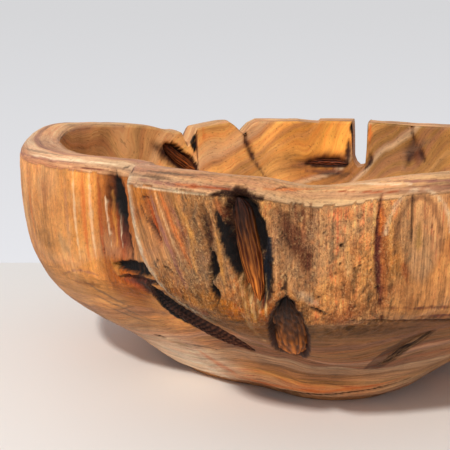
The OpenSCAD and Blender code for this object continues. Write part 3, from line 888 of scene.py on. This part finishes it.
def inclusion(name, thickness, ribs, fill, shift, sinks, first, last, seed):
    """Ribbed piece swept down its pocket, a little under the face of the wall."""
    side = POCKETS[name][0]
    azimuth, height, width = np.array(pocket_path(name, fill, shift, SWEEP_STEPS)).T
    t = np.linspace(0, 1, SWEEP_STEPS)
    sink = np.interp(t, (0, 0.5, 1), sinks)
    ends = np.sqrt(np.clip(1 - (2 * t - 1) ** 8, 0.02, 1))
    surface = hollow_r if side == INSIDE else wall_r
    inwards = 1 if side == INSIDE else -1
    centre = place(azimuth, surface(azimuth, height), height)
    way = np.gradient(centre, axis=0)
    way /= np.linalg.norm(way, axis=1)[:, None]
    out = place(azimuth, 1.0 + 0 * azimuth, 0 * azimuth) * -inwards
    out -= (out * way).sum(1)[:, None] * way
    out /= np.linalg.norm(out, axis=1)[:, None]
    across = np.cross(way, out)
    turn = np.linspace(0, 2 * np.pi, SWEEP_SIDES, endpoint=False)
    sideways, rise = np.cos(turn), np.sin(turn)
    width = (width * ends)[:, None]
    ends = ends[:, None]
    body = thickness * ends
    taper = mix(BACK_SHARE, 1.0, ease(rise, -0.6, 0.2))
    down = np.linspace(0, SWEEP_LENGTH, SWEEP_STEPS)[:, None] + 0 * turn
    waver = clouds(np.stack([down * 0.8, 4 * sideways + 0 * down, rise + 0 * down], -1), 1, seed, 2)
    if ribs > 0:
        phase = ribs * np.pi * (sideways + 0.16 * waver)
    else:
        phase = -ribs * np.pi * (1.8 * down / SWEEP_LENGTH + 0.1 * sideways + 0.03 * waver)
    crest = 0.5 + 0.5 * np.cos(phase)
    front = ease(rise, 0, 0.5)
    fine = clouds(np.stack([down * 0.7, width * sideways / 0.9, 0 * waver], -1), 1, seed + 3, 3, 0.7)
    lift = -sink[:, None] - body + body * np.sign(rise) * np.abs(rise) ** 0.6
    lift = lift + front * ends * (RIB * (crest - 0.6) + FINE * fine)
    spread = width * taper * np.sign(sideways) * np.abs(sideways) ** 0.8
    p = centre[:, None] + across[:, None] * spread[..., None] + out[:, None] * lift[..., None]
    share = t[:, None, None] ** 1.8
    dark = mix(colour(*first[0]), colour(*last[0]), share)
    light = mix(colour(*first[1]), colour(*last[1]), share)
    level = np.clip(0.9 * crest**2.2 + 0.6 * fine + 0.03, 0, 1)[..., None]
    # the piece's sides and back are painted darker, down to 0.35, as shade away from its face
    c = mix(dark, light, level) * mix(0.35, 1.0, front)[..., None]
    fibre = np.stack([width * sideways * 1.6, (down + down[1]) * 12, lift], -1)
    masks = np.stack([0.5 + 0 * lift, 0 * lift, 0 * lift], -1)
    return grid_mesh(name + "_piece", p, c, fibre, masks)


# ---- materials
class Nodes:
    """Short hand for building one node tree."""

    def __init__(self, tree):
        self.tree = tree

    def link(self, a, b):
        self.tree.links.new(a, b)

    def set(self, socket, value):
        if hasattr(value, "is_output"):
            self.link(value, socket)
        else:
            socket.default_value = value

    def attribute(self, name, output="Vector"):
        node = self.tree.nodes.new("ShaderNodeAttribute")
        node.attribute_name = name
        return node.outputs[output]

    def scaled(self, vector, scale):
        node = self.tree.nodes.new("ShaderNodeVectorMath")
        node.operation = "MULTIPLY"
        self.link(vector, node.inputs[0])
        node.inputs[1].default_value = scale
        return node.outputs[0]

    def noise(self, vector, scales, detail, rough, distortion=0.0):
        node = self.tree.nodes.new("ShaderNodeTexNoise")
        self.link(self.scaled(vector, scales), node.inputs["Vector"])
        node.inputs["Scale"].default_value = 1.0
        node.inputs["Detail"].default_value = detail
        node.inputs["Roughness"].default_value = rough
        node.inputs["Distortion"].default_value = distortion
        return node.outputs[0]

    def ramp(self, value, *stops):
        """Level or colour from two (position, level or colour) stops."""
        node = self.tree.nodes.new("ShaderNodeValToRGB")
        self.link(value, node.inputs[0])
        for element, (at, level) in zip(node.color_ramp.elements, stops):
            element.position = at
            element.color = (*np.broadcast_to(level, 3), 1)
        return node.outputs[0]

    def math(self, operation, a, b=0.0, c=0.0):
        node = self.tree.nodes.new("ShaderNodeMath")
        node.operation = operation
        for socket, value in zip(node.inputs, (a, b, c)):
            self.set(socket, value)
        return node.outputs[0]

    def part(self, vector, axis):
        node = self.tree.nodes.new("ShaderNodeSeparateXYZ")
        self.link(vector, node.inputs[0])
        return node.outputs[axis]

    def blend(self, kind, share, a, b):
        node = self.tree.nodes.new("ShaderNodeMix")
        node.data_type = "RGBA"
        node.blend_type = kind
        self.set(node.inputs[0], share)
        self.set(node.inputs[6], a)
        self.set(node.inputs[7], b)
        return node.outputs[2]

    def bump(self, height, distance, strength, before=None):
        node = self.tree.nodes.new("ShaderNodeBump")
        node.inputs["Strength"].default_value = strength
        node.inputs["Distance"].default_value = distance
        self.link(height, node.inputs["Height"])
        if before is not None:
            self.link(before, node.inputs["Normal"])
        return node.outputs[0]


def new_material(name):
    """Material with one principled shader: its nodes, the shader's inputs and itself."""
    material = bpy.data.materials.new(name)
    material.use_nodes = True
    m = Nodes(material.node_tree)
    m.tree.nodes.clear()
    out = m.tree.nodes.new("ShaderNodeOutputMaterial")
    shader = m.tree.nodes.new("ShaderNodeBsdfPrincipled")
    m.link(shader.outputs[0], out.inputs["Surface"])
    return m, shader.inputs, material


def wood_material(name, polish=0.0, pore_share=0.5):
    m, inputs, material = new_material(name)
    tint = m.attribute("tint", "Color")
    fibre = m.attribute("fibre")
    masks = m.attribute("masks")
    char, speckle, calm = (m.part(masks, axis) for axis in range(3))
    lines = m.noise(fibre, (1400, 70, 120), 5, 0.65)
    threads = m.noise(fibre, (480, 30, 60), 4, 0.6, 0.4)
    grains = m.noise(fibre, (1100, 520, 400), 3, 0.6)
    flecks = m.noise(fibre, (1300, 850, 700), 3, 0.75, 0.8)
    level = m.math("ADD", m.math("MULTIPLY", lines, 0.5), m.math("MULTIPLY", threads, 0.5))
    grain_share = m.math("MULTIPLY_ADD", calm, -0.85, 0.90)
    c = m.blend("OVERLAY", grain_share, tint, m.ramp(level, (0.3, 0.06), (0.7, 0.9)))
    pores = m.ramp(grains, (0.30, 0.2), (0.42, 1.0))
    c = m.blend("MULTIPLY", pore_share, c, pores)
    # flecks over the speckled face: pale and dark flecks of the chipped wood, partly painted highlights on
    # its lit chips and painted shade in its pits
    clumps = m.ramp(m.noise(fibre, (330, 200, 200), 3, 0.6), (0.34, 0.25), (0.62, 1.0))
    patchy = m.math("MULTIPLY", speckle, clumps)
    light = m.math("MULTIPLY", m.ramp(flecks, (0.53, 0.0), (0.62, 1.0)), m.math("MULTIPLY", patchy, 0.55))
    light = m.math("MULTIPLY", light, m.math("SUBTRACT", 1.0, char))
    c = m.blend("MIX", light, c, (*DYES["flake"], 1))
    dark = m.math("MULTIPLY", m.ramp(flecks, (0.36, 1.0), (0.46, 0.0)), m.math("MULTIPLY", speckle, 0.6))
    c = m.blend("MIX", dark, c, (*DYES["umber"], 1))
    m.link(c, inputs["Base Color"])
    rough = m.math("MULTIPLY_ADD", level, -0.25, 0.66 - polish)
    m.link(m.math("ADD", rough, m.math("MULTIPLY", char, 0.12)), inputs["Roughness"])
    first = m.bump(level, 0.0007, 0.8)
    second = m.bump(pores, 0.0002, 0.5, first)
    m.link(m.bump(m.math("MULTIPLY", flecks, speckle), 0.0018, 0.8, second), inputs["Normal"])
    inputs["Specular IOR Level"].default_value = 0.2
    return material


# ---- stage, light, camera
FLOOR_LOW, FLOOR_HIGH = (-1.6, -1.6), (1.6, 0.26)
FLOOR_COLOUR, WALL_COLOUR = colour(236, 231, 225), colour(214, 214, 216)
# Light of the room: soft in front, the wall's colour far behind, and a little more from low
SOFT_FILL, LOW_GLOW = (0.48, 0.50, 0.54), (1.2, 1.2, 1.22)
WALL_FROM, WALL_WHOLE, GLOW_RANGE = 0.80, 0.94, (-0.22, 0.06)


def floor():
    bpy.ops.mesh.primitive_plane_add(size=1)
    plane = bpy.context.object
    plane.name = "floor"
    plane.scale = (FLOOR_HIGH[0] - FLOOR_LOW[0], FLOOR_HIGH[1] - FLOOR_LOW[1], 1)
    plane.location = ((FLOOR_LOW[0] + FLOOR_HIGH[0]) / 2, (FLOOR_LOW[1] + FLOOR_HIGH[1]) / 2, 0)
    _, inputs, material = new_material("pale_floor")
    inputs["Base Color"].default_value = (*FLOOR_COLOUR, 1)
    inputs["Roughness"].default_value = 0.55
    plane.data.materials.append(material)


def room():
    world = bpy.data.worlds.new("studio")
    world.use_nodes = True
    m = Nodes(world.node_tree)
    way = m.tree.nodes.new("ShaderNodeTexCoord").outputs["Generated"]
    wall = m.ramp(m.part(way, 1), (WALL_FROM, SOFT_FILL), (WALL_WHOLE, WALL_COLOUR))
    low = m.tree.nodes.new("ShaderNodeMapRange")
    m.link(m.part(way, 2), low.inputs[0])
    low.inputs[1].default_value, low.inputs[2].default_value = GLOW_RANGE
    glow = m.ramp(low.outputs[0], (0, LOW_GLOW), (1, 1))
    m.link(m.blend("MULTIPLY", 1.0, wall, glow), m.tree.nodes["Background"].inputs[0])
    bpy.context.scene.world = world
    bpy.context.scene.view_settings.view_transform = "Standard"


# Key light: the way to it, its distance and size in metres, and the height that it aims at
KEY_WAY, KEY_DISTANCE, KEY_SIZE, KEY_AIM = (-0.32, -0.70, 0.64), 3.0, 0.20, 0.06
KEY_POWER, KEY_TINT = 74, (1.0, 0.97, 0.93)


def key_light():
    data = bpy.data.lights.new("key", "AREA")
    data.size = KEY_SIZE
    data.energy = KEY_POWER
    data.color = KEY_TINT
    lamp = bpy.data.objects.new("key", data)
    bpy.context.scene.collection.objects.link(lamp)
    x, y, z = np.array(KEY_WAY) / np.linalg.norm(KEY_WAY) * KEY_DISTANCE
    lamp.location = (x, y, z + KEY_AIM)
    lamp.rotation_euler = (math.acos(z / KEY_DISTANCE), 0, math.atan2(y, x) + math.pi / 2)


CAMERA_PLACE, CAMERA_PITCH, CAMERA_LENS = (-0.060, -0.570, 0.179), 9.77, 72


def camera():
    data = bpy.data.cameras.new("camera")
    data.lens = CAMERA_LENS
    data.sensor_width = 36
    data.clip_start = 0.01
    view = bpy.data.objects.new("camera", data)
    view.location = CAMERA_PLACE
    view.rotation_euler = (math.radians(90 - CAMERA_PITCH), 0, 0)
    bpy.context.scene.collection.objects.link(view)
    bpy.context.scene.camera = view


camera()
floor()
room()
key_light()

block = carved_block()
block.data.materials.append(wood_material("root_wood"))
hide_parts("bowl_body")
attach(block, "root")

piece_looks = {"bark": wood_material("ingrown_bark", 0.08, 0.12),
               "dead_knot": wood_material("dead_knot", 0.04, 0.2)}
for seed, (name, spec) in enumerate(INCLUSIONS.items()):
    piece = inclusion(name, *spec, seed=101 + 10 * seed)
    slot = "dead_knot" if "knot" in name else "bark"
    piece.data.materials.append(piece_looks[slot])
    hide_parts(name)
    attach(piece, "root")
